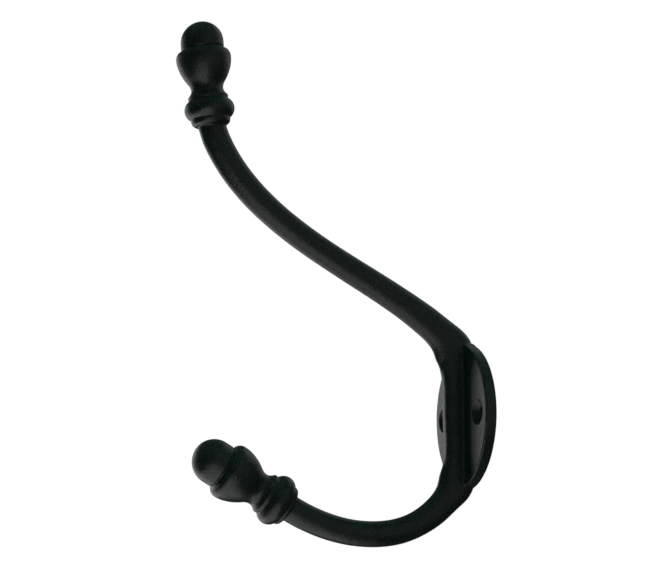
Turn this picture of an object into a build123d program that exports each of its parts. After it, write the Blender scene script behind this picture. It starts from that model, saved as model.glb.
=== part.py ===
"""Cast hat and coat hook: one casting with a pointed oval screw plate and two acorn-tipped arms.

Units are millimetres.  X runs across the hook, -Y runs out from the wall and Z runs up.
The origin is on the wall, midway between the two screw holes.
"""

from build123d import *
import math
import os

# Screw plate: two arcs that meet in a point at the top and at the bottom
PLATE_WIDTH = 38.9
PLATE_HEIGHT = 45.5
PLATE_THICKNESS = 3.6
PLATE_EDGE_BEVEL = 0.5
BEVEL_ANGLE = 45.0

# Screw holes, for countersunk wood screws with a 4.2 mm shank
SCREW_SHANK = 4.2
SHANK_CLEARANCE = 0.3
HOLE_DIAMETER = SCREW_SHANK + SHANK_CLEARANCE
SCREW_HEAD = 7.8
HEAD_CLEARANCE = 0.3
COUNTERSINK_DIAMETER = SCREW_HEAD + HEAD_CLEARANCE
COUNTERSINK_ANGLE = 90.0
HOLE_SPACING = 26.0

# Both arms follow one line in the middle plane of the hook; each point is (Y, Z)
HAT_ARM_END = (-85.3, 85.85)
HAT_ARM_UPPER = (-76.05, 70.15)
HAT_ARM_MIDDLE = (-62.35, 57.7)
HAT_ARM_LOWER = (-38.7, 43.4)
HAT_ARM_ROOT = (-17.2, 31.0)
HAT_ARM_FOOT = (-9.95, 25.55)
RIB_TOP = (-5.95, 21.1)
RIB_UPPER = (-3.75, 11.0)
RIB_MIDDLE = (-3.95, 0.0)
RIB_LOWER = (-3.75, -12.0)
RIB_BOTTOM = (-5.45, -22.05)
COAT_ARM_FOOT = (-8.25, -25.6)
COAT_ARM_ROOT = (-13.65, -30.75)
COAT_ARM_LOWER = (-22.7, -35.5)
COAT_ARM_BOTTOM = (-32.0, -37.05)
COAT_ARM_RISE = (-41.35, -36.45)
COAT_ARM_UPPER = (-50.8, -33.9)
COAT_ARM_END = (-59.3, -30.15)

# Oval sections of the arms: half width across the hook, and half depth in the middle plane
HAT_TIP_SECTION = (3.9, 4.4)
HAT_UPPER_SECTION = (3.8, 4.3)
HAT_ARM_SECTION = (3.7, 4.2)
HAT_LOWER_SECTION = (3.5, 4.2)
HAT_ROOT_SECTION = (3.3, 4.65)
HAT_FOOT_SECTION = (3.2, 5.15)
RIB_TOP_SECTION = (3.1, 6.6)
RIB_MIDDLE_SECTION = (3.1, 5.75)
RIB_BOTTOM_SECTION = (3.1, 5.8)
COAT_FOOT_SECTION = (3.2, 4.75)
COAT_ROOT_SECTION = (3.3, 4.1)
COAT_ARM_SECTION = (3.7, 4.0)
COAT_TIP_SECTION = (3.9, 4.1)

# Longest step between two sections, fewest steps between two sized points, and reach of the
# arms into the acorns' collars
STEP_LENGTH = 8.0
FEWEST_STEPS = 2
ARM_REACH = 0.9

# Acorns: angle of each axis above the horizontal, length of each nut, and scale of the whole acorn
HAT_ACORN_ANGLE = 82.6
COAT_ACORN_ANGLE = 28.9
HAT_NUT_LENGTH = 9.05
COAT_NUT_LENGTH = 9.6
HAT_ACORN_SCALE = 1.0
COAT_ACORN_SCALE = 1.03

# Turned outline shared by the acorns: radii, and heights above the end of the arm
COLLAR_BASE = 0.3
COLLAR_BASE_RADIUS = 4.85
COLLAR_SHOULDER = 0.9
COLLAR_SHOULDER_RADIUS = 5.8
COLLAR_RADIUS = 6.15
COLLAR_TOP = 2.2
GROOVE_RADIUS = 5.85
GROOVE_DEPTH = 0.3
RING_RADIUS = 7.75
RING_HEIGHT = 5.3
RING_TOP = 8.2
BEAD_RADIUS = 6.2
BEAD_BEVEL = 0.35
BEAD_TOP = 9.6
CUP_FOOT_RADIUS = 5.75
CUP_FOOT_HEIGHT = 13.7
CUP_RADIUS = 8.5
CUP_HEIGHT = 21.3
CUP_TOP = 23.9
NUT_RADIUS = 6.65

# Points that pull the curves of the acorns' neck, cup and lip: (radius, height)
NECK_LOW_PULL = (4.85, 10.6)
NECK_HIGH_PULL = (4.6, 11.95)
CUP_LOW_PULL = (6.95, 15.3)
CUP_HIGH_PULL = (8.5, 18.3)
LIP_LOW_PULL = (8.5, 22.8)
LIP_HIGH_PULL = (7.65, 23.75)


def acorn_plane(arm_end, angle):
    """Plane holding an acorn's axis: its x runs out from the axis and its y runs to the tip."""
    turn = math.radians(angle)
    outward = (0, math.sin(turn), math.cos(turn))
    return Plane(origin=(0, *arm_end), x_dir=outward, z_dir=(1, 0, 0))


def half_sizes_at(stations, share):
    """Half width and half depth of the arms at this share of their line, blended between stations."""
    for (before, small), (after, large) in zip(stations, stations[1:]):
        if share <= after:
            step = (share - before) / (after - before)
            blend = step * step * (3 - 2 * step)
            return [first + (last - first) * blend for first, last in zip(small, large)]
    return stations[-1][1]


def arm_end_plane(acorn, along):
    """Plane across the end of an arm, inside the collar of its acorn; along faces it down the line."""
    return Plane(origin=acorn.origin + acorn.y_dir * ARM_REACH, x_dir=(1, 0, 0), z_dir=acorn.y_dir * along)


def oval_section(plane, half_width, half_depth):
    """Oval section of the arms in this plane, drawn with four arcs."""
    corner = (half_width * math.cos(math.pi / 4), half_depth * math.sin(math.pi / 4))
    with BuildSketch(plane) as section:
        with BuildLine():
            ThreePointArc((half_width, 0), corner, (0, half_depth))
            mirror(about=Plane.YZ)
            mirror(about=Plane.XZ)
        make_face()
    return section.sketch


def turned_outline(nut_length):
    """Half outline of an acorn from the foot of its collar to the tip of the nut."""
    cup_foot = (CUP_FOOT_RADIUS, CUP_FOOT_HEIGHT)
    dome_base = CUP_TOP + nut_length - NUT_RADIUS
    with BuildLine() as outline:
        Polyline(
            (0, COLLAR_BASE),
            (COLLAR_BASE_RADIUS, COLLAR_BASE),
            (COLLAR_SHOULDER_RADIUS, COLLAR_SHOULDER),
            (COLLAR_RADIUS, COLLAR_TOP - GROOVE_DEPTH),
            (GROOVE_RADIUS, COLLAR_TOP),
        )
        ThreePointArc((GROOVE_RADIUS, COLLAR_TOP), (RING_RADIUS, RING_HEIGHT), (GROOVE_RADIUS, RING_TOP))
        Polyline(
            (GROOVE_RADIUS, RING_TOP),
            (BEAD_RADIUS, RING_TOP + BEAD_BEVEL),
            (BEAD_RADIUS, BEAD_TOP - BEAD_BEVEL),
            (GROOVE_RADIUS, BEAD_TOP),
        )
        Bezier((GROOVE_RADIUS, BEAD_TOP), NECK_LOW_PULL, NECK_HIGH_PULL, cup_foot)
        Bezier(cup_foot, CUP_LOW_PULL, CUP_HIGH_PULL, (CUP_RADIUS, CUP_HEIGHT))
        Bezier((CUP_RADIUS, CUP_HEIGHT), LIP_LOW_PULL, LIP_HIGH_PULL, (NUT_RADIUS, CUP_TOP))
        Line((NUT_RADIUS, CUP_TOP), (NUT_RADIUS, dome_base))
        RadiusArc((NUT_RADIUS, dome_base), (0, dome_base + NUT_RADIUS), -NUT_RADIUS)
        Line((0, dome_base + NUT_RADIUS), (0, COLLAR_BASE))
    return outline.line


def acorn_outline(acorn, nut_length, scale_factor):
    """The half outline of an acorn, filled in, brought to scale and set in its plane."""
    with BuildSketch(acorn) as filled:
        add(turned_outline(nut_length))
        make_face()
        scale(by=scale_factor)
    return filled.sketch


with BuildLine(Plane.YZ) as arms_line:
    Spline(
        HAT_ARM_END,
        HAT_ARM_UPPER,
        HAT_ARM_MIDDLE,
        HAT_ARM_LOWER,
        HAT_ARM_ROOT,
        HAT_ARM_FOOT,
        RIB_TOP,
        RIB_UPPER,
        RIB_MIDDLE,
        RIB_LOWER,
        RIB_BOTTOM,
        COAT_ARM_FOOT,
        COAT_ARM_ROOT,
        COAT_ARM_LOWER,
        COAT_ARM_BOTTOM,
        COAT_ARM_RISE,
        COAT_ARM_UPPER,
        COAT_ARM_END,
    )
line = arms_line.wires()[0]

sized_points = [
    (HAT_ARM_END, HAT_TIP_SECTION),
    (HAT_ARM_UPPER, HAT_UPPER_SECTION),
    (HAT_ARM_MIDDLE, HAT_ARM_SECTION),
    (HAT_ARM_LOWER, HAT_LOWER_SECTION),
    (HAT_ARM_ROOT, HAT_ROOT_SECTION),
    (HAT_ARM_FOOT, HAT_FOOT_SECTION),
    (RIB_TOP, RIB_TOP_SECTION),
    (RIB_MIDDLE, RIB_MIDDLE_SECTION),
    (RIB_BOTTOM, RIB_BOTTOM_SECTION),
    (COAT_ARM_FOOT, COAT_FOOT_SECTION),
    (COAT_ARM_ROOT, COAT_ROOT_SECTION),
    (COAT_ARM_BOTTOM, COAT_ARM_SECTION),
    (COAT_ARM_END, COAT_TIP_SECTION),
]
stations = [(line.param_at_point(Vector(0, *point)), sizes) for point, sizes in sized_points]
shares = []
for (start, _), (end, _) in zip(stations, stations[1:]):
    steps = max(math.ceil((end - start) * line.length / STEP_LENGTH), FEWEST_STEPS)
    shares += [start + (end - start) * step / steps for step in range(steps)]

# Sections stand square to the line, but at each end square to the axis of the acorn
hat_plane = acorn_plane(HAT_ARM_END, HAT_ACORN_ANGLE)
coat_plane = acorn_plane(COAT_ARM_END, COAT_ACORN_ANGLE)
sections = [oval_section(arm_end_plane(hat_plane, along=-1), *HAT_TIP_SECTION)]
for share in shares[1:]:
    square = Plane(origin=line @ share, x_dir=(1, 0, 0), z_dir=line % share)
    sections.append(oval_section(square, *half_sizes_at(stations, share)))
sections.append(oval_section(arm_end_plane(coat_plane, along=1), *COAT_TIP_SECTION))

with BuildPart() as hook:
    with BuildSketch(Plane.XZ):
        with BuildLine():
            ThreePointArc((0, -PLATE_HEIGHT / 2), (PLATE_WIDTH / 2, 0), (0, PLATE_HEIGHT / 2))
            ThreePointArc((0, PLATE_HEIGHT / 2), (-PLATE_WIDTH / 2, 0), (0, -PLATE_HEIGHT / 2))
        make_face()
    extrude(amount=PLATE_THICKNESS - PLATE_EDGE_BEVEL)
    bevel_base = hook.faces().sort_by(Axis.Y)[0]
    extrude(bevel_base, amount=PLATE_EDGE_BEVEL, taper=BEVEL_ANGLE)

    loft(sections=sections, ruled=True)

    hat_acorn = acorn_outline(hat_plane, HAT_NUT_LENGTH, HAT_ACORN_SCALE)
    revolve(hat_acorn, axis=Axis(hat_plane.origin, hat_plane.y_dir))
    coat_acorn = acorn_outline(coat_plane, COAT_NUT_LENGTH, COAT_ACORN_SCALE)
    revolve(coat_acorn, axis=Axis(coat_plane.origin, coat_plane.y_dir))

    # The back of the casting is flat where it meets the wall
    split(bisect_by=Plane.XZ, keep=Keep.TOP)

    plate_face = Plane(origin=(0, -PLATE_THICKNESS, 0), x_dir=(1, 0, 0), z_dir=(0, -1, 0))
    with Locations(plate_face):
        with Locations((-HOLE_SPACING / 2, 0), (HOLE_SPACING / 2, 0)):
            CounterSinkHole(
                radius=HOLE_DIAMETER / 2,
                counter_sink_radius=COUNTERSINK_DIAMETER / 2,
                depth=PLATE_THICKNESS,
                counter_sink_angle=COUNTERSINK_ANGLE,
            )

os.makedirs("parts", exist_ok=True)
hook.part.label = "hook"
export_step(hook.part, "parts/hook.step")
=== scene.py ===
"""Cast iron hat and coat hook in satin black paint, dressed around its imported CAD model.

Everything is in the frame of that model: X runs across the hook, -Y runs out from the wall and
Z runs up.  Blender works in metres.  The hook's own classes hold their sizes in millimetres, and
those of the studio hold theirs in metres.
"""

import logging
import math
from collections.abc import Callable, Sequence
from dataclasses import dataclass
from enum import Enum
from typing import Any

import bpy
import numpy as np
from mathutils import Matrix, Vector


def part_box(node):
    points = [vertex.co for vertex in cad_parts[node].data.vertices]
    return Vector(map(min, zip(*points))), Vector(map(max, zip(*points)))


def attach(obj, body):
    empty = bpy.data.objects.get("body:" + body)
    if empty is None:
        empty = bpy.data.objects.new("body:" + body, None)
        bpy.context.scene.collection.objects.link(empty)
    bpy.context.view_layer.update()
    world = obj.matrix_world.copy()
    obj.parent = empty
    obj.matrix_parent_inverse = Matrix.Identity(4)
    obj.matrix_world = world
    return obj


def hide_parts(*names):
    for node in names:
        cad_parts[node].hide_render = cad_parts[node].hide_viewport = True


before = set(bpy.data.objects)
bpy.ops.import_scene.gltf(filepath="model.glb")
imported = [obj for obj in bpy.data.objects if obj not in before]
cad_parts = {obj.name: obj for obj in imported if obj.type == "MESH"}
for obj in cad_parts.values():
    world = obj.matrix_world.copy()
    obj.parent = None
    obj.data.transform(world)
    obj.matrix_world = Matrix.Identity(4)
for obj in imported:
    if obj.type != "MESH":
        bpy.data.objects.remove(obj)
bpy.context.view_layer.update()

MM = 0.001
BODY = "root"
NODE = "hook"

# Metal behind the wall face, in millimetres, which is ground off at the end
SPARE = 0.6

# Points closer than the first are merged, and a cut takes points closer than the second as on it
MERGE_GAP = 0.001
CUT_GAP = 0.0001

# Corners of a rounded block: the part of its half width and half depth that each takes up, and
# how full it is, where 0.5 is a quarter of a circle
BLOCK_ROUNDING = 0.98
BLOCK_FULLNESS = 0.61

# Sockets of a mix of two colours, which go by number because its names stand for other kinds too
MIX_SHARE, MIX_FIRST, MIX_SECOND = 0, 6, 7
MIX_RESULT = 2

logger = logging.getLogger("hat_and_coat_hook")

PlanePoint = tuple[float, float]


class Side(Enum):
    """The two sides of the hook's middle plane, by the sign of X."""

    LEFT = -1
    RIGHT = 1


class Section(Enum):
    """Outlines that a piece can be grown from."""

    OVAL = "oval"
    ROUNDED_BLOCK = "rounded block"


def linear_rgba(hex_colour: str) -> tuple[float, float, float, float]:
    """Turn an sRGB hex colour into the linear colour that shaders take.

    Args:
        hex_colour: Six hex digits, with or without a leading hash.

    Returns:
        Linear red, green and blue from 0 to 1, and an alpha of 1.
    """
    digits = hex_colour.lstrip("#")
    channels = [int(digits[start : start + 2], 16) / 255 for start in (0, 2, 4)]
    red, green, blue = (
        value / 12.92 if value <= 0.04045 else ((value + 0.055) / 1.055) ** 2.4 for value in channels
    )
    return red, green, blue, 1.0


def add_node(
    tree: bpy.types.NodeTree,
    kind: str,
    settings: dict[str, Any] | None = None,
    inputs: dict[str | int, Any] | None = None,
) -> bpy.types.Node:
    """Add one node to a tree, with its settings, its constants and its links.

    Args:
        tree: The node tree that takes the node.
        kind: Blender's name of the node type.
        settings: Attributes of the node and their values.
        inputs: Input sockets by name or number; a socket as the value is linked, and anything
            else is set as a constant.

    Returns:
        The new node.
    """
    node = tree.nodes.new(kind)
    for name, value in (settings or {}).items():
        setattr(node, name, value)
    for key, value in (inputs or {}).items():
        if isinstance(value, bpy.types.NodeSocket):
            tree.links.new(value, node.inputs[key])
        else:
            node.inputs[key].default_value = value
    return node


def deselect_all() -> None:
    """Leave object mode with nothing selected, so that operators touch only what comes next."""
    bpy.ops.object.select_all(action="DESELECT")


def activate(piece: bpy.types.Object) -> None:
    """Select one piece alone and make it the active one.

    Args:
        piece: The piece.
    """
    deselect_all()
    piece.select_set(True)
    bpy.context.view_layer.objects.active = piece


def apply_place(piece: bpy.types.Object) -> None:
    """Move a piece's place, turn and scale into its mesh, so that its object sits at the origin."""
    activate(piece)
    bpy.ops.object.transform_apply(location=True, rotation=True, scale=True)


def select_faces(piece: bpy.types.Object, wanted: Callable[[bpy.types.MeshPolygon], bool]) -> None:
    """Select the faces of a piece that pass a test, and leave it in edit mode.

    Args:
        piece: The piece, in object mode.
        wanted: The test of one face.
    """
    activate(piece)
    bpy.ops.object.mode_set(mode="EDIT")
    bpy.ops.mesh.select_mode(type="FACE")
    bpy.ops.mesh.select_all(action="DESELECT")
    bpy.ops.object.mode_set(mode="OBJECT")
    for face in piece.data.polygons:
        face.select = wanted(face)
    bpy.ops.object.mode_set(mode="EDIT")


def cut_off_back(piece: bpy.types.Object, behind: float) -> None:
    """Cut a piece off flat behind the wall face and close the cut.

    Args:
        piece: The piece.
        behind: How far behind the wall face, in millimetres.
    """
    activate(piece)
    bpy.ops.object.mode_set(mode="EDIT")
    bpy.ops.mesh.select_all(action="SELECT")
    bpy.ops.mesh.bisect(
        plane_co=(0.0, behind * MM, 0.0),
        plane_no=(0.0, 1.0, 0.0),
        clear_outer=True,
        use_fill=True,
        threshold=CUT_GAP * MM,
    )
    close_and_face_outwards()


def close_and_face_outwards() -> None:
    """Merge the doubles of a piece in edit mode, face it outwards and return to object mode."""
    bpy.ops.mesh.select_all(action="SELECT")
    bpy.ops.mesh.remove_doubles(threshold=MERGE_GAP * MM)
    bpy.ops.mesh.normals_make_consistent(inside=False)
    bpy.ops.object.mode_set(mode="OBJECT")


def turn_across(direction: PlanePoint) -> float:
    """Turn of a ring that lies square to a direction of the middle plane."""
    return math.atan2(-direction[0], direction[1])


@dataclass(frozen=True)
class Ring:
    """An oval ring that a swept or turned piece passes through.

    Its centre is a (y, z) point in the middle plane, and turn is how far its axis leans out from
    the vertical towards -Y, in radians.
    """

    centre: PlanePoint
    turn: float
    half_width: float
    half_depth: float

    @property
    def place(self) -> Vector:
        """The centre in the model's frame, in metres."""
        return Vector((0.0, self.centre[0], self.centre[1])) * MM


def start_face(section: Section, first: Ring, sides: int) -> bpy.types.Object:
    """Lay the flat face that a piece is grown from, two units across.

    Args:
        section: Outline of the face.
        first: The ring that gives its place and turn.
        sides: Number of corners of an oval.

    Returns:
        The face.
    """
    deselect_all()
    if section is Section.OVAL:
        bpy.ops.mesh.primitive_circle_add(
            vertices=sides, radius=1.0, fill_type="NGON", location=first.place, rotation=(first.turn, 0, 0)
        )
        return bpy.context.active_object
    bpy.ops.mesh.primitive_plane_add(size=2.0, location=first.place, rotation=(first.turn, 0, 0))
    face = bpy.context.active_object
    bpy.ops.object.mode_set(mode="EDIT")
    bpy.ops.mesh.select_all(action="SELECT")
    bpy.ops.mesh.bevel(
        offset=BLOCK_ROUNDING, segments=sides // 4, affect="VERTICES", profile=BLOCK_FULLNESS
    )
    bpy.ops.object.mode_set(mode="OBJECT")
    return face


def grow_rings(
    name: str,
    rings: Sequence[Ring],
    sides: int,
    section: Section = Section.OVAL,
    pointed: bool = False,
) -> bpy.types.Object:
    """Grow a closed piece out of its first ring by extruding, turning and sizing the end face.

    Args:
        name: Name of the new piece.
        rings: The rings in order, in millimetres.
        sides: Number of corners of every ring.
        section: Outline of every ring.
        pointed: Whether the last ring closes to a point.

    Returns:
        The new piece, with its place in its mesh.
    """
    first = rings[0]
    piece = start_face(section, first, sides)
    piece.name = piece.data.name = name
    piece.scale = (first.half_width * MM, first.half_depth * MM, 1.0)
    apply_place(piece)
    bpy.ops.object.mode_set(mode="EDIT")
    bpy.ops.mesh.select_mode(type="FACE")
    bpy.ops.mesh.select_all(action="SELECT")
    for before, after in zip(rings, rings[1:]):
        bpy.ops.mesh.extrude_region_move(TRANSFORM_OT_translate={"value": after.place - before.place})
        if not math.isclose(after.turn, before.turn):
            bpy.ops.transform.rotate(
                value=before.turn - after.turn, orient_axis="X", center_override=after.place
            )
        deeper = after.half_depth / before.half_depth
        bpy.ops.transform.resize(
            value=(after.half_width / before.half_width, deeper, deeper), center_override=after.place
        )
    if pointed:
        bpy.ops.mesh.merge(type="CENTER")
    close_and_face_outwards()
    return piece


def curve_between(
    ends: np.ndarray, slopes: np.ndarray, run: float, share: float
) -> tuple[np.ndarray, np.ndarray]:
    """Value and slope of the smooth curve that joins two values with the given slopes.

    Args:
        ends: The two values.
        slopes: The slopes there.
        run: Distance between them.
        share: Part of the run, from 0 to 1.

    Returns:
        The value and the slope at that share.
    """
    square, cube = share**2, share**3
    value = (
        (2 * cube - 3 * square + 1) * ends[0]
        + (cube - 2 * square + share) * run * slopes[0]
        + (3 * square - 2 * cube) * ends[1]
        + (cube - square) * run * slopes[1]
    )
    slope = (
        (6 * square - 6 * share) * (ends[0] - ends[1]) / run
        + (3 * square - 4 * share + 1) * slopes[0]
        + (3 * square - 2 * share) * slopes[1]
    )
    return value, slope


def ease(share: float) -> float:
    """Ease a share, held between 0 and 1, so that it starts and ends gently."""
    held = min(max(share, 0.0), 1.0)
    return held * held * (3 - 2 * held)


@dataclass(frozen=True)
class SmoothLine:
    """A smooth line through points of the middle plane, passed at a pace set by their distances."""

    points: tuple[PlanePoint, ...]

    # How many points at each end set the slope there
    end_points: int = 4

    def marks(self) -> np.ndarray:
        """Distance along the straight runs at which the line passes each point."""
        runs = np.linalg.norm(np.diff(np.array(self.points), axis=0), axis=1)
        return np.concatenate([[0.0], np.cumsum(runs)])

    def end_pull(self, marks: np.ndarray, points: np.ndarray, at: float) -> np.ndarray:
        """Work out the slope at one end of the line from the curve through the points near it.

        Args:
            marks: Marks of the points near the end.
            points: Those points.
            at: Mark of the end itself.

        Returns:
            The slope.
        """
        degree = self.end_points - 1
        slopes = [np.polyder(np.polyfit(marks - at, points[:, axis], degree)) for axis in (0, 1)]
        return np.array([np.polyval(slope, 0.0) for slope in slopes])

    def pulls(self) -> np.ndarray:
        """Work out the slope of the line at each point, so that its curvature never jumps.

        Returns:
            One slope for each point.
        """
        marks, points = self.marks(), np.array(self.points)
        count, runs, near = len(points), np.diff(marks), self.end_points
        system, wanted = np.zeros((count, count)), np.zeros((count, 2))
        system[0, 0] = system[-1, -1] = 1.0
        wanted[0] = self.end_pull(marks[:near], points[:near], marks[0])
        wanted[-1] = self.end_pull(marks[-near:], points[-near:], marks[-1])
        for middle in range(1, count - 1):
            before, after = runs[middle - 1], runs[middle]
            system[middle, middle - 1 : middle + 2] = after, 2 * (before + after), before
            wanted[middle] = 3 * (
                after / before * (points[middle] - points[middle - 1])
                + before / after * (points[middle + 1] - points[middle])
            )
        return np.linalg.solve(system, wanted)

    def sample(self, spacing: float) -> list[tuple[float, PlanePoint, PlanePoint]]:
        """Walk the line in even steps.

        Args:
            spacing: Greatest length of a step, in millimetres.

        Returns:
            For each step its mark, its point and its direction.
        """
        marks, points, pulls = self.marks(), np.array(self.points), self.pulls()
        steps = []
        for index, (start, end) in enumerate(zip(marks, marks[1:])):
            run = end - start
            count = math.ceil(run / spacing)
            shares = np.arange(count + (index == len(marks) - 2)) / count
            for share in shares:
                point, pull = curve_between(points[index : index + 2], pulls[index : index + 2], run, share)
                steps.append((start + share * run, tuple(point), tuple(pull / np.linalg.norm(pull))))
        return steps


@dataclass(frozen=True)
class ScrewPlate:
    """Pointed oval plate that two wood screws hold to the wall."""

    width: float = 38.9
    height: float = 45.5
    thickness: float = 3.6
    edge_bevel: float = 0.5
    edge_segments: int = 2
    rim_sides: int = 240

    # Oval pad at the upper point, on which the root of the hat arm spreads
    pad_half_width: float = 5.6
    pad_half_height: float = 3.6
    pad_centre_height: float = 19.4
    pad_sides: int = 96

    # Faces whose normal's Y is below the first are the front, and bends below the second, in
    # degrees, are flat
    front_normal: float = -0.9
    flat_bend: float = 1.0

    @property
    def arc_radius(self) -> float:
        """Radius of the two arcs that meet in the plate's points."""
        return (self.width**2 + self.height**2) / (4 * self.width)

    def slab(self, sides: int, radius: float, centre: PlanePoint) -> bpy.types.Object:
        """Stand up a round slab as thick as the plate and its spare metal.

        Args:
            sides: Number of its corners.
            radius: Its radius, in millimetres.
            centre: Its centre across the hook and up, in millimetres.

        Returns:
            The slab.
        """
        deselect_all()
        bpy.ops.mesh.primitive_cylinder_add(
            vertices=sides,
            radius=radius * MM,
            depth=(self.thickness + SPARE) * MM,
            location=Vector((centre[0], (SPARE - self.thickness) / 2, centre[1])) * MM,
            rotation=(math.pi / 2, 0.0, 0.0),
        )
        return bpy.context.active_object

    def build_oval(self) -> bpy.types.Object:
        """Cut half the oval out of a disc, mirror it and bevel its front rim.

        Returns:
            The oval, with its spare metal behind the wall face.
        """
        oval = self.slab(self.rim_sides, self.arc_radius, (self.width / 2 - self.arc_radius, 0.0))
        oval.name = oval.data.name = "screw_plate"
        apply_place(oval)
        bpy.ops.object.mode_set(mode="EDIT")
        bpy.ops.mesh.select_all(action="SELECT")
        bpy.ops.mesh.bisect(plane_co=(0, 0, 0), plane_no=(1, 0, 0), clear_inner=True)
        bpy.ops.object.mode_set(mode="OBJECT")
        mirror = oval.modifiers.new("other_half", "MIRROR")
        mirror.merge_threshold = MERGE_GAP * MM
        bpy.ops.object.modifier_apply(modifier=mirror.name)
        select_faces(oval, lambda face: face.normal.y < self.front_normal)
        bpy.ops.mesh.dissolve_limited(angle_limit=math.radians(self.flat_bend))
        bpy.ops.mesh.region_to_loop()
        bpy.ops.mesh.bevel(offset=self.edge_bevel * MM, segments=self.edge_segments)
        close_and_face_outwards()
        return oval

    def build_pad(self) -> bpy.types.Object:
        """Build the oval pad on which the root of the hat arm spreads.

        Returns:
            The pad, as thick as the plate.
        """
        pad = self.slab(self.pad_sides, 1.0, (0.0, self.pad_centre_height))
        pad.scale = (self.pad_half_width, self.pad_half_height, 1.0)
        apply_place(pad)
        return pad

    def build(self) -> bpy.types.Object:
        """Build the oval and its pad.

        Returns:
            The plate.
        """
        plate, pad = self.build_oval(), self.build_pad()
        activate(plate)
        pad.select_set(True)
        bpy.ops.object.join()
        return plate


@dataclass(frozen=True)
class Arms:
    """Both arms and the rib on the plate, swept along one line in the middle plane."""

    # Points of the line: (y, z)
    hat_end: PlanePoint = (-85.3, 85.85)
    hat_upper: PlanePoint = (-76.05, 70.15)
    hat_middle: PlanePoint = (-62.35, 57.7)
    hat_lower: PlanePoint = (-38.7, 43.4)
    hat_root: PlanePoint = (-17.2, 31.0)
    hat_foot: PlanePoint = (-9.95, 25.55)
    rib_top: PlanePoint = (-6.0, 21.1)
    rib_upper: PlanePoint = (-3.75, 11.0)
    rib_middle: PlanePoint = (-3.95, 0.0)
    rib_lower: PlanePoint = (-3.75, -12.0)
    rib_bottom: PlanePoint = (-5.72, -21.93)
    coat_foot: PlanePoint = (-8.25, -25.6)
    coat_root: PlanePoint = (-13.65, -30.75)
    coat_lower: PlanePoint = (-22.7, -35.5)
    coat_bottom: PlanePoint = (-32.0, -37.05)
    coat_rise: PlanePoint = (-41.35, -36.45)
    coat_upper: PlanePoint = (-50.8, -33.9)
    coat_end: PlanePoint = (-59.3, -30.06)

    # Half width across the hook and half depth in the middle plane
    hat_tip_section: PlanePoint = (3.9, 4.4)
    hat_upper_section: PlanePoint = (3.8, 4.3)
    hat_section: PlanePoint = (3.7, 4.2)
    hat_lower_section: PlanePoint = (3.5, 4.28)
    hat_root_section: PlanePoint = (3.3, 4.85)
    hat_foot_section: PlanePoint = (3.2, 5.4)
    rib_top_section: PlanePoint = (3.1, 6.65)
    rib_upper_section: PlanePoint = (3.1, 5.6)
    rib_middle_section: PlanePoint = (3.1, 5.2)
    rib_lower_section: PlanePoint = (3.1, 5.2)
    rib_bottom_section: PlanePoint = (3.1, 5.8)
    coat_foot_section: PlanePoint = (3.2, 4.7)
    coat_root_section: PlanePoint = (3.3, 4.2)
    coat_section: PlanePoint = (3.7, 4.0)
    coat_tip_section: PlanePoint = (3.9, 4.1)

    # Angle of each acorn's axis above the horizontal, and reach of the arms into their collars
    hat_acorn_angle: float = 82.6
    coat_acorn_angle: float = 29.1
    reach: float = 0.9

    # Part by which the blocky rib shrinks where it has sunk into the oval arms
    rib_shrink: float = 0.18

    # Length of line at both ends on which the only ring is the one inside the collar
    end_room: float = 3.0
    ring_spacing: float = 1.0
    sides: int = 72

    def course(self) -> tuple[tuple[PlanePoint, PlanePoint | None], ...]:
        """Lay out the line from the hat arm's end to the coat arm's end.

        Returns:
            The points of the line in order, each with its half sizes if it has any of its own.
        """
        return (
            (self.hat_end, self.hat_tip_section),
            (self.hat_upper, self.hat_upper_section),
            (self.hat_middle, self.hat_section),
            (self.hat_lower, self.hat_lower_section),
            (self.hat_root, self.hat_root_section),
            (self.hat_foot, self.hat_foot_section),
            (self.rib_top, self.rib_top_section),
            (self.rib_upper, self.rib_upper_section),
            (self.rib_middle, self.rib_middle_section),
            (self.rib_lower, self.rib_lower_section),
            (self.rib_bottom, self.rib_bottom_section),
            (self.coat_foot, self.coat_foot_section),
            (self.coat_root, self.coat_root_section),
            (self.coat_lower, None),
            (self.coat_bottom, self.coat_section),
            (self.coat_rise, None),
            (self.coat_upper, None),
            (self.coat_end, self.coat_tip_section),
        )

    def line(self) -> SmoothLine:
        """The smooth line through the points of the course."""
        return SmoothLine(tuple(point for point, _ in self.course()))

    def stations(self, line: SmoothLine) -> list[tuple[float, PlanePoint]]:
        """Marks of the sized points of the line, and the half sizes there."""
        return [(mark, size) for mark, (_, size) in zip(line.marks(), self.course()) if size]

    def half_sizes(self, mark: float, stations: Sequence[tuple[float, PlanePoint]]) -> PlanePoint:
        """Half width and half depth at a mark of the line, on smooth curves through the sized points.

        Args:
            mark: Where on the line.
            stations: Marks of the sized points, in order, and the half sizes there.

        Returns:
            The half width and the half depth, in millimetres.
        """
        marks = np.array([station for station, _ in stations])
        sizes = np.array([size for _, size in stations])
        slopes = np.gradient(sizes, marks, axis=0)
        before = int(np.clip(np.searchsorted(marks, mark) - 1, 0, len(marks) - 2))
        run = marks[before + 1] - marks[before]
        share = (mark - marks[before]) / run
        size, _ = curve_between(sizes[before : before + 2], slopes[before : before + 2], run, share)
        return size[0], size[1]

    def end_ring(self, end: PlanePoint, angle: float, half_sizes: PlanePoint, along: int) -> Ring:
        """Ring across the end of an arm, inside the collar of its acorn.

        Args:
            end: The arm's end.
            angle: Angle of the acorn's axis above the horizontal, in degrees.
            half_sizes: Half width and half depth of the arm there.
            along: 1 where the line runs towards the acorn, and -1 where it comes from it.

        Returns:
            The ring.
        """
        out, up = -math.cos(math.radians(angle)), math.sin(math.radians(angle))
        centre = (end[0] + out * self.reach, end[1] + up * self.reach)
        return Ring(centre, turn_across((out * along, up * along)), *half_sizes)

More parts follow.
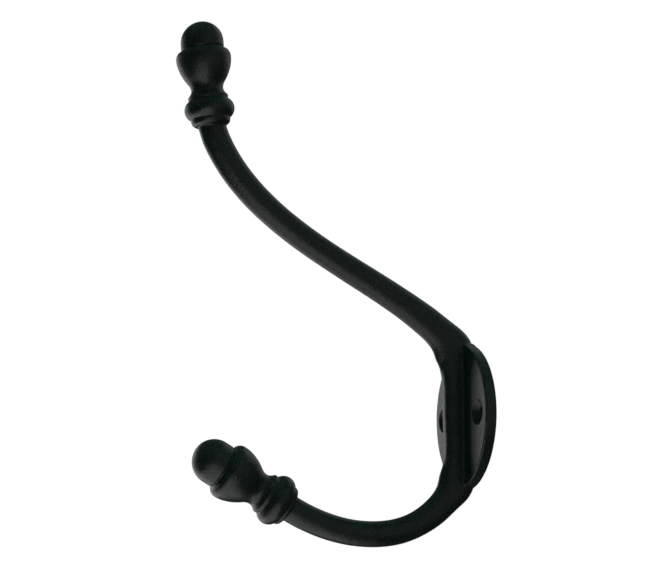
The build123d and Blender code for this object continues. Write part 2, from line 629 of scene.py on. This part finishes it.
    def rings(self) -> list[Ring]:
        """Place the rings of the oval arms, square to their line and at each end to the acorn's axis.

        Returns:
            The rings from the hat arm's end to the coat arm's end.
        """
        line = self.line()
        stations = self.stations(line)
        length = stations[-1][0]
        rings = [self.end_ring(self.hat_end, self.hat_acorn_angle, self.hat_tip_section, -1)]
        for mark, point, direction in line.sample(self.ring_spacing):
            if self.end_room < mark < length - self.end_room:
                rings.append(Ring(point, turn_across(direction), *self.half_sizes(mark, stations)))
        rings.append(self.end_ring(self.coat_end, self.coat_acorn_angle, self.coat_tip_section, 1))
        return rings

    def rib_rings(self) -> list[Ring]:
        """Place the rings of the blocky rib on the plate, which shrinks into the arms at both ends.

        Returns:
            The rings from the top down.
        """
        line = self.line()
        stations = self.stations(line)
        marks = dict(zip(line.points, line.marks()))
        top, full_top = marks[self.hat_foot], marks[self.rib_upper]
        full_bottom, bottom = marks[self.rib_lower], marks[self.coat_foot]
        rings = []
        for mark, point, direction in line.sample(self.ring_spacing):
            if top <= mark <= bottom:
                from_top = ease((mark - top) / (full_top - top))
                from_bottom = ease((bottom - mark) / (bottom - full_bottom))
                share = 1 - self.rib_shrink * (1 - from_top * from_bottom)
                half_width, half_depth = self.half_sizes(mark, stations)
                rings.append(Ring(point, turn_across(direction), half_width * share, half_depth * share))
        return rings

    def build(self) -> bpy.types.Object:
        """Sweep the arms and the rib along their line and cut them off a little behind the wall face.

        Returns:
            The oval arms with the blocky rib between them.
        """
        arms = grow_rings("arms", self.rings(), self.sides)
        rib = grow_rings("rib", self.rib_rings(), self.sides, Section.ROUNDED_BLOCK)
        for piece in (arms, rib):
            cut_off_back(piece, SPARE)
        activate(arms)
        rib.select_set(True)
        bpy.ops.object.join()
        return arms


@dataclass(frozen=True)
class Acorn:
    """Turned acorn at the end of an arm: collar, ring, bead, neck, cup and domed nut."""

    name: str
    arm_end: PlanePoint
    angle: float

    # Where the collar starts and has its shoulder, the length of the nut, and how far the nut's tip
    # strays from the axis, up and towards the wall
    collar_base: float
    collar_shoulder: float
    nut_length: float
    nut_drift: float

    scale: float = 1.0
    collar_base_radius: float = 4.85
    collar_shoulder_radius: float = 5.8
    collar_radius: float = 6.15
    collar_top: float = 2.2
    groove_radius: float = 5.85
    groove_depth: float = 0.3
    ring_radius: float = 7.75
    ring_top: float = 8.2
    bead_radius: float = 6.2
    bead_bevel: float = 0.35
    bead_top: float = 9.6
    cup_foot_radius: float = 5.75
    cup_foot_height: float = 13.7
    cup_radius: float = 8.5
    cup_height: float = 21.3
    cup_top: float = 23.8
    nut_radius: float = 6.65
    nut_groove: float = 0.35
    tip_radius: float = 0.01

    # Points that pull the curves of the neck, the cup and its lip: (radius, height)
    neck_low_pull: PlanePoint = (4.85, 10.6)
    neck_high_pull: PlanePoint = (4.6, 11.95)
    cup_low_pull: PlanePoint = (6.95, 15.3)
    cup_high_pull: PlanePoint = (8.5, 18.3)
    lip_low_pull: PlanePoint = (8.5, 22.45)
    lip_high_pull: PlanePoint = (7.9, 23.5)

    curve_steps: int = 16
    sides: int = 128

    def curve(self, *corners: PlanePoint) -> list[PlanePoint]:
        """Walk a curve that starts and ends at its outer corners and leans to the middle ones.

        Args:
            corners: The four corners: (radius, height).

        Returns:
            Points of the curve after its start: (radius, height).
        """
        start, low, high, end = (np.array(corner) for corner in corners)
        shares = np.linspace(0, 1, self.curve_steps + 1)[1:, None]
        rest = 1 - shares
        walk = rest**3 * start + 3 * rest**2 * shares * low + 3 * rest * shares**2 * high + shares**3 * end
        return [(radius, height) for radius, height in walk]

    def ring_bulge(self) -> list[PlanePoint]:
        """Walk the round of the ring from the collar's groove to the bead.

        Returns:
            Points of the round: (radius, height).
        """
        half_height = (self.ring_top - self.collar_top) / 2
        bulge = self.ring_radius - self.groove_radius
        round_radius = (half_height**2 + bulge**2) / (2 * bulge)
        middle = (self.collar_top + self.ring_top) / 2
        reach = math.asin(half_height / round_radius)
        return [
            (self.ring_radius - round_radius * (1 - math.cos(lean)), middle + round_radius * math.sin(lean))
            for lean in np.linspace(-reach, reach, 2 * self.curve_steps)
        ]

    def dome(self) -> list[PlanePoint]:
        """Walk the round end of the nut, up to just short of its tip.

        Returns:
            Points of the round: (radius, height).
        """
        base = self.cup_top + self.nut_length - self.nut_radius
        return [
            (self.nut_radius * math.cos(lean), base + self.nut_radius * math.sin(lean))
            for lean in np.linspace(0, math.pi / 2, 2 * self.curve_steps)[:-1]
        ]

    def outline(self) -> list[PlanePoint]:
        """Draw half the outline that is turned.

        Returns:
            Points from the foot of the collar to the tip of the nut: (radius, height).
        """
        neck_foot = (self.groove_radius, self.bead_top)
        cup_foot = (self.cup_foot_radius, self.cup_foot_height)
        cup_side = (self.cup_radius, self.cup_height)
        return [
            (self.collar_base_radius, self.collar_base),
            (self.collar_shoulder_radius, self.collar_shoulder),
            (self.collar_radius, self.collar_top - self.groove_depth),
            *self.ring_bulge(),
            (self.bead_radius, self.ring_top + self.bead_bevel),
            (self.bead_radius, self.bead_top - self.bead_bevel),
            neck_foot,
            *self.curve(neck_foot, self.neck_low_pull, self.neck_high_pull, cup_foot),
            *self.curve(cup_foot, self.cup_low_pull, self.cup_high_pull, cup_side),
            *self.curve(cup_side, self.lip_low_pull, self.lip_high_pull, (self.nut_radius, self.cup_top)),
            (self.nut_radius - self.nut_groove, self.cup_top),
            (self.nut_radius - self.nut_groove, self.cup_top + self.nut_groove),
            (self.nut_radius, self.cup_top + 2 * self.nut_groove),
            *self.dome(),
            (self.tip_radius, self.cup_top + self.nut_length),
        ]

    def build(self) -> bpy.types.Object:
        """Turn the outline around the acorn's axis, from the collar up.

        Returns:
            The acorn as one closed piece on the end of its arm.
        """
        lean = math.radians(self.angle)
        out, up = -math.cos(lean), math.sin(lean)
        rings = []
        for radius, height in self.outline():
            along = height * self.scale
            drift = self.nut_drift * max(height - self.cup_top, 0.0) / self.nut_length
            centre = (
                self.arm_end[0] + out * along + up * drift,
                self.arm_end[1] + up * along - out * drift,
            )
            rings.append(Ring(centre, math.pi / 2 - lean, radius * self.scale, radius * self.scale))
        return grow_rings(self.name, rings, self.sides, pointed=True)


@dataclass(frozen=True)
class ScrewHoles:
    """Two countersunk holes, one each side of the rib."""

    plate_thickness: float
    spacing: float = 26.0
    diameter: float = 4.5
    countersink_diameter: float = 8.1

    # How far the drill runs past the metal
    overrun: float = 1.0
    sides: int = 96

    def cutter(self, side: Side) -> bpy.types.Object:
        """Shape the drill that cuts one hole and its countersink.

        Args:
            side: Which of the two holes.

        Returns:
            The drill, in place.
        """
        radius, sink_radius = self.diameter / 2, self.countersink_diameter / 2
        sink_depth = sink_radius - radius
        steps = (
            (self.overrun, radius),
            (sink_depth - self.plate_thickness, radius),
            (-self.plate_thickness, sink_radius),
            (-self.plate_thickness - self.overrun, sink_radius + self.overrun),
        )
        rings = [Ring((out, 0.0), math.pi / 2, size, size) for out, size in steps]
        drill = grow_rings(f"drill_{side.name.lower()}", rings, self.sides)
        drill.location.x = side.value * self.spacing / 2 * MM
        apply_place(drill)
        return drill

    def cut(self, casting: bpy.types.Object) -> None:
        """Cut both holes through the casting and take the drills away.

        Args:
            casting: The hook before drilling.
        """
        for side in Side:
            drill = self.cutter(side)
            activate(casting)
            hole = casting.modifiers.new("hole", "BOOLEAN")
            hole.operation = "DIFFERENCE"
            hole.solver = "EXACT"
            hole.object = drill
            bpy.ops.object.modifier_apply(modifier=hole.name)
            bpy.data.objects.remove(drill)


@dataclass(frozen=True)
class Pattern:
    """A cloudy pattern: the size of its patches in millimetres, and how finely they break up."""

    size: float
    detail: float
    breakup: float

    def build(self, tree: bpy.types.NodeTree, place: bpy.types.NodeSocket) -> bpy.types.NodeSocket:
        """Add the pattern to a material.

        Args:
            tree: The material's node tree.
            place: Where a point of the surface is.

        Returns:
            The pattern, which stays near 0.5.
        """
        scale = 1 / (self.size * MM)
        inputs = {"Vector": place, "Scale": scale, "Detail": self.detail, "Roughness": self.breakup}
        return add_node(tree, "ShaderNodeTexNoise", inputs=inputs).outputs[0]


@dataclass(frozen=True)
class SatinBlackPaint:
    """Satin black paint on sand-cast iron.

    The iron's sand grain and slow unevenness show through a thin even coat, so the black keeps a
    soft sheen that breaks up slightly, with no clear mirror image.
    """

    # Black with a breath of green, and the paler green-grey of dust that the grain holds
    colour: str = "#010806"
    dusty_colour: str = "#0d231c"
    roughness_low: float = 0.26
    roughness_high: float = 0.36
    paint_ior: float = 1.5

    # The sand of a mould leaves a finer grain: it is drawn coarser, as coarse as it needs to show
    sand_grain: Pattern = Pattern(size=0.6, detail=2.0, breakup=0.6)
    swells: Pattern = Pattern(size=2.8, detail=2.0, breakup=0.5)
    clouds: Pattern = Pattern(size=9.0, detail=3.0, breakup=0.55)

    # Values of the grain that are all bare paint and all dust, and of the clouds that are the
    # smoothest and the dullest paint
    dust_range: tuple[float, float] = (0.35, 0.65)
    cloud_range: tuple[float, float] = (0.3, 0.7)

    # Depth of the relief in millimetres, and how much of its slope shows
    swell_depth: float = 0.11
    swell_strength: float = 0.8
    grain_depth: float = 0.13
    grain_strength: float = 1.0

    def add_colour(self, tree: bpy.types.NodeTree, grain: bpy.types.NodeSocket) -> bpy.types.NodeSocket:
        """Speckle the black with dust, which keeps the dark side of the hook from going flat.

        Args:
            tree: The material's node tree.
            grain: The sand grain.

        Returns:
            The colour.
        """
        bare, dusty = self.dust_range
        speckle = add_node(
            tree, "ShaderNodeMapRange", inputs={"Value": grain, "From Min": bare, "From Max": dusty}
        ).outputs[0]
        return add_node(
            tree,
            "ShaderNodeMix",
            settings={"data_type": "RGBA"},
            inputs={
                MIX_SHARE: speckle,
                MIX_FIRST: linear_rgba(self.colour),
                MIX_SECOND: linear_rgba(self.dusty_colour),
            },
        ).outputs[MIX_RESULT]

    def add_sheen(self, tree: bpy.types.NodeTree, clouds: bpy.types.NodeSocket) -> bpy.types.NodeSocket:
        """Vary the sheen in slow patches, as a hand-dipped coat does, so that highlights aren't even.

        Args:
            tree: The material's node tree.
            clouds: The slow patches.

        Returns:
            The roughness.
        """
        smooth, dull = self.cloud_range
        return add_node(
            tree,
            "ShaderNodeMapRange",
            inputs={
                "Value": clouds,
                "From Min": smooth,
                "From Max": dull,
                "To Min": self.roughness_low,
                "To Max": self.roughness_high,
            },
        ).outputs[0]

    def add_relief(
        self, tree: bpy.types.NodeTree, swells: bpy.types.NodeSocket, grain: bpy.types.NodeSocket
    ) -> bpy.types.NodeSocket:
        """Raise the swells and the sand grain, which ruffle the edges of every highlight.

        Args:
            tree: The material's node tree.
            swells: The slow unevenness.
            grain: The sand grain.

        Returns:
            The normal.
        """
        slow_relief = add_node(
            tree,
            "ShaderNodeBump",
            inputs={"Height": swells, "Strength": self.swell_strength, "Distance": self.swell_depth * MM},
        ).outputs[0]
        return add_node(
            tree,
            "ShaderNodeBump",
            inputs={
                "Height": grain,
                "Strength": self.grain_strength,
                "Distance": self.grain_depth * MM,
                "Normal": slow_relief,
            },
        ).outputs[0]

    def build(self) -> bpy.types.Material:
        """Make the finish.

        Returns:
            The material, patterned in the hook's own frame.
        """
        material = bpy.data.materials.new("satin_black_paint_on_cast_iron")
        material.use_nodes = True
        tree = material.node_tree
        tree.nodes.clear()
        place = add_node(tree, "ShaderNodeTexCoord").outputs["Object"]
        grain = self.sand_grain.build(tree, place)
        surface = add_node(
            tree,
            "ShaderNodeBsdfPrincipled",
            inputs={
                "Base Color": self.add_colour(tree, grain),
                "Roughness": self.add_sheen(tree, self.clouds.build(tree, place)),
                "IOR": self.paint_ior,
                "Metallic": 0.0,
                "Normal": self.add_relief(tree, self.swells.build(tree, place), grain),
            },
        ).outputs[0]
        add_node(tree, "ShaderNodeOutputMaterial", inputs={"Surface": surface})
        return material


@dataclass(frozen=True)
class HookCasting:
    """The whole hook as one sand casting, with the soft corners that a mould leaves."""

    plate: ScrewPlate
    arms: Arms
    acorns: tuple[Acorn, ...]
    holes: ScrewHoles
    finish: SatinBlackPaint

    # Cells of the skin, the share of its faces that is kept, and the part of the way to its
    # neighbours that each point moves in a softening pass
    voxel: float = 0.22
    kept_share: float = 0.32
    softening: float = 0.5
    skin_passes: int = 2

    # Inner corners around the rib: how often they are softened, how far they reach past its side,
    # and how far they rise from the plate's face, and half as far down into it
    root_passes: int = 12
    root_reach: float = 2.0
    root_depth: float = 1.6

    # Depth and patch size of the unevenness that the mould leaves
    unevenness: float = 0.08
    unevenness_size: float = 7.0

    # Edges that bend less than this, in degrees, are shaded smooth
    sharpest_smooth_angle: float = 35.0

    def unite(self) -> bpy.types.Object:
        """Build every part of the casting and melt them into one closed skin.

        Returns:
            The united casting.
        """
        pieces = [self.plate.build(), self.arms.build(), *(acorn.build() for acorn in self.acorns)]
        deselect_all()
        for piece in pieces:
            piece.select_set(True)
        casting = pieces[0]
        bpy.context.view_layer.objects.active = casting
        bpy.ops.object.join()
        casting.name = casting.data.name = "hook_casting"
        skin = casting.modifiers.new("one_skin", "REMESH")
        skin.mode = "VOXEL"
        skin.voxel_size = self.voxel * MM
        bpy.ops.object.modifier_apply(modifier=skin.name)
        return casting

    def soften_roots(self, casting: bpy.types.Object) -> None:
        """Round the inner corners where the rib meets the plate's face.

        Args:
            casting: The united casting.
        """
        count = len(casting.data.vertices)
        places = np.empty(count * 3)
        casting.data.vertices.foreach_get("co", places)
        x, y, z = places.reshape(count, 3).T / MM
        face = -self.plate.thickness
        half_width = self.arms.rib_middle_section[0] + self.root_reach
        half_height = self.plate.height / 2 + self.root_reach
        near_rib = (np.abs(x) < half_width) & (np.abs(z) < half_height)
        near_face = (y > face - self.root_depth) & (y < face + self.root_depth / 2)
        activate(casting)
        bpy.ops.object.mode_set(mode="EDIT")
        bpy.ops.mesh.select_mode(type="VERT")
        bpy.ops.mesh.select_all(action="DESELECT")
        bpy.ops.object.mode_set(mode="OBJECT")
        casting.data.vertices.foreach_set("select", near_rib & near_face)
        bpy.ops.object.mode_set(mode="EDIT")
        bpy.ops.mesh.vertices_smooth(factor=self.softening, repeat=self.root_passes)
        bpy.ops.object.mode_set(mode="OBJECT")

    def settle_skin(self, casting: bpy.types.Object) -> None:
        """Soften every corner slightly and give the skin the slow unevenness of a sand mould.

        Args:
            casting: The united casting.
        """
        activate(casting)
        soften = casting.modifiers.new("soft_corners", "SMOOTH")
        soften.factor = self.softening
        soften.iterations = self.skin_passes
        bpy.ops.object.modifier_apply(modifier=soften.name)
        pattern = bpy.data.textures.new("mould_unevenness", "CLOUDS")
        pattern.noise_scale = self.unevenness_size * MM
        sink = casting.modifiers.new("mould_unevenness", "DISPLACE")
        sink.texture = pattern
        sink.texture_coords = "GLOBAL"
        # With its middle at 1 the pattern only sinks the skin, which so stays within its sizes
        sink.mid_level = 1.0
        sink.strength = self.unevenness * MM
        bpy.ops.object.modifier_apply(modifier=sink.name)

    def thin_out(self, casting: bpy.types.Object) -> None:
        """Thin out the skin's fine mesh where it is even.

        Args:
            casting: The settled casting.
        """
        activate(casting)
        thinner = casting.modifiers.new("thinner_mesh", "DECIMATE")
        thinner.ratio = self.kept_share
        bpy.ops.object.modifier_apply(modifier=thinner.name)

    def build(self) -> bpy.types.Object:
        """Build the casting, soften it, grind its back flat, drill it and paint it.

        Returns:
            The finished hook.
        """
        casting = self.unite()
        self.soften_roots(casting)
        self.settle_skin(casting)
        self.thin_out(casting)
        cut_off_back(casting, 0.0)
        self.holes.cut(casting)
        activate(casting)
        bpy.ops.object.shade_smooth_by_angle(angle=math.radians(self.sharpest_smooth_angle))
        casting.data.materials.clear()
        casting.data.materials.append(self.finish.build())
        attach(casting, BODY)
        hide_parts(NODE)
        logger.info("%s: %d faces", casting.name, len(casting.data.polygons))
        return casting


@dataclass(frozen=True)
class Floor:
    """A flat sheet of pale matt paper well below the hook, running under it towards the camera."""

    middle: tuple[float, float, float] = (0.432, -0.274, -0.30)
    length: float = 1.2
    width: float = 0.42

    # Turn away from the camera's direction, in degrees
    slant: float = 9.0
    colour: str = "#efefed"

    def material(self) -> bpy.types.Material:
        """Make the paper: uncoated and rolled flat, so it spreads light evenly and takes soft shadows.

        Returns:
            The material.
        """
        material = bpy.data.materials.new("matt_pale_paper")
        material.use_nodes = True
        tree = material.node_tree
        tree.nodes.clear()
        paper = add_node(tree, "ShaderNodeBsdfDiffuse", inputs={"Color": linear_rgba(self.colour)})
        add_node(tree, "ShaderNodeOutputMaterial", inputs={"Surface": paper.outputs[0]})
        return material

    def build(self, azimuth: float) -> bpy.types.Object:
        """Lay the sheet.

        Args:
            azimuth: The camera's direction around the hook, in degrees, which the sheet runs along.

        Returns:
            The floor, as a piece of the stage.
        """
        deselect_all()
        bpy.ops.mesh.primitive_plane_add(
            size=1.0, location=self.middle, rotation=(0.0, 0.0, math.radians(azimuth - 90 + self.slant))
        )
        sheet = bpy.context.active_object
        sheet.name = sheet.data.name = "floor"
        sheet.scale = (self.length, self.width, 1.0)
        apply_place(sheet)
        sheet.data.materials.append(self.material())
        return sheet


@dataclass(frozen=True)
class Lamp:
    """A soft rectangular studio lamp.

    Its place is given from the camera's side: how far right, up and back towards the camera it
    stands from the middle of the hook, in metres.  Its level is how bright its face looks, where
    1 is white.
    """

    name: str
    place: tuple[float, float, float]
    size: tuple[float, float]
    level: float
    in_reflections: bool = True

    def build(self, target: Vector, axes: Matrix) -> bpy.types.Object:
        """Hang the lamp and point it at the hook.

        Args:
            target: Middle of the hook.
            axes: The camera's right, up and back directions, as columns.

        Returns:
            The lamp.
        """
        deselect_all()
        bpy.ops.object.light_add(type="AREA", location=target + axes @ Vector(self.place))
        lamp = bpy.context.active_object
        lamp.name = lamp.data.name = self.name
        lamp.data.shape = "RECTANGLE"
        lamp.data.size, lamp.data.size_y = self.size
        lamp.data.energy = self.level * math.pi * self.size[0] * self.size[1]
        lamp.rotation_euler = (target - lamp.location).to_track_quat("-Z", "Y").to_euler()
        lamp.visible_camera = False
        lamp.visible_glossy = self.in_reflections
        return lamp


@dataclass(frozen=True)
class Studio:
    """Pale floor, white surroundings, soft lamps and the camera."""

    # Where the camera stands around and above the hook, in degrees
    azimuth: float = 70.0
    elevation: float = -9.75
    camera_place: tuple[float, float, float] = (0.57018, -0.25349, -0.06790)
    nearest: float = 0.01

    # Focal length and sensor, in millimetres
    lens: float = 108.27
    sensor_width: float = 36.0

    # Brightness of the surroundings to everything but the camera, which sees white
    world_light: float = 0.05

    lamps: tuple[Lamp, ...] = (
        Lamp("overhead_lamp", (0.0, 1.3, -0.2), (2.4, 2.4), 2.6, in_reflections=False),
        Lamp("left_back_soft_box", (-0.76, -0.25, -0.85), (0.9, 1.3), 0.95),
        Lamp("low_back_soft_box", (-0.55, -0.85, -0.35), (0.6, 0.6), 1.2),
        Lamp("right_soft_box", (0.9, 0.35, 0.9), (1.8, 1.8), 0.13),
        Lamp("upper_right_back_soft_box", (0.9, 0.5, -0.9), (1.6, 1.2), 0.35),
    )

    def axes(self) -> Matrix:
        """Work out which way the camera faces.

        Returns:
            Its right, up and back directions, as columns.
        """
        around, above = math.radians(self.azimuth), math.radians(self.elevation)
        right = Vector((math.cos(around), math.sin(around), 0.0))
        back = Vector((right.y * math.cos(above), -right.x * math.cos(above), math.sin(above)))
        return Matrix((right, back.cross(right), back)).transposed()

    def build_world(self) -> None:
        """Make the surroundings white to the camera and a dim even light to everything else."""
        world = bpy.data.worlds.new("studio")
        bpy.context.scene.world = world
        world.use_nodes = True
        tree = world.node_tree
        tree.nodes.clear()
        path = add_node(tree, "ShaderNodeLightPath").outputs
        level = add_node(
            tree,
            "ShaderNodeMapRange",
            inputs={"Value": path["Is Camera Ray"], "To Min": self.world_light, "To Max": 1.0},
        ).outputs[0]
        light = add_node(
            tree, "ShaderNodeBackground", inputs={"Color": linear_rgba("#ffffff"), "Strength": level}
        ).outputs[0]
        add_node(tree, "ShaderNodeOutputWorld", inputs={"Surface": light})

    def build_camera(self) -> None:
        """Set the camera below and beside the hook, looking up at it."""
        data = bpy.data.cameras.new("camera")
        data.lens = self.lens
        data.sensor_width = self.sensor_width
        data.clip_start = self.nearest
        camera = bpy.data.objects.new("camera", data)
        camera.matrix_world = Matrix.Translation(self.camera_place) @ self.axes().to_4x4()
        bpy.context.scene.collection.objects.link(camera)
        bpy.context.scene.camera = camera

    def build(self, target: Vector) -> None:
        """Build the whole studio.

        Args:
            target: Middle of the hook, which the lamps point at.
        """
        Floor().build(self.azimuth)
        for lamp in self.lamps:
            lamp.build(target, self.axes())
        self.build_world()
        self.build_camera()
        bpy.context.scene.view_settings.view_transform = "Standard"
        logger.info("studio: floor, %d lamps, surroundings and camera", len(self.lamps))


def main() -> None:
    """Build the hook and the studio around it."""
    logging.basicConfig(level=logging.INFO, format="%(name)s: %(message)s")
    plate, arms = ScrewPlate(), Arms()
    hat_acorn = Acorn(
        "hat_acorn",
        arms.hat_end,
        arms.hat_acorn_angle,
        collar_base=0.0,
        collar_shoulder=0.7,
        nut_length=9.1,
        nut_drift=0.4,
    )
    coat_acorn = Acorn(
        "coat_acorn",
        arms.coat_end,
        arms.coat_acorn_angle,
        collar_base=0.75,
        collar_shoulder=1.25,
        nut_length=9.7,
        nut_drift=0.2,
        scale=1.025,
    )
    holes = ScrewHoles(plate.thickness)
    HookCasting(plate, arms, (hat_acorn, coat_acorn), holes, SatinBlackPaint()).build()
    low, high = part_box(NODE)
    Studio().build((low + high) / 2)


if __name__ == "__main__":
    main()
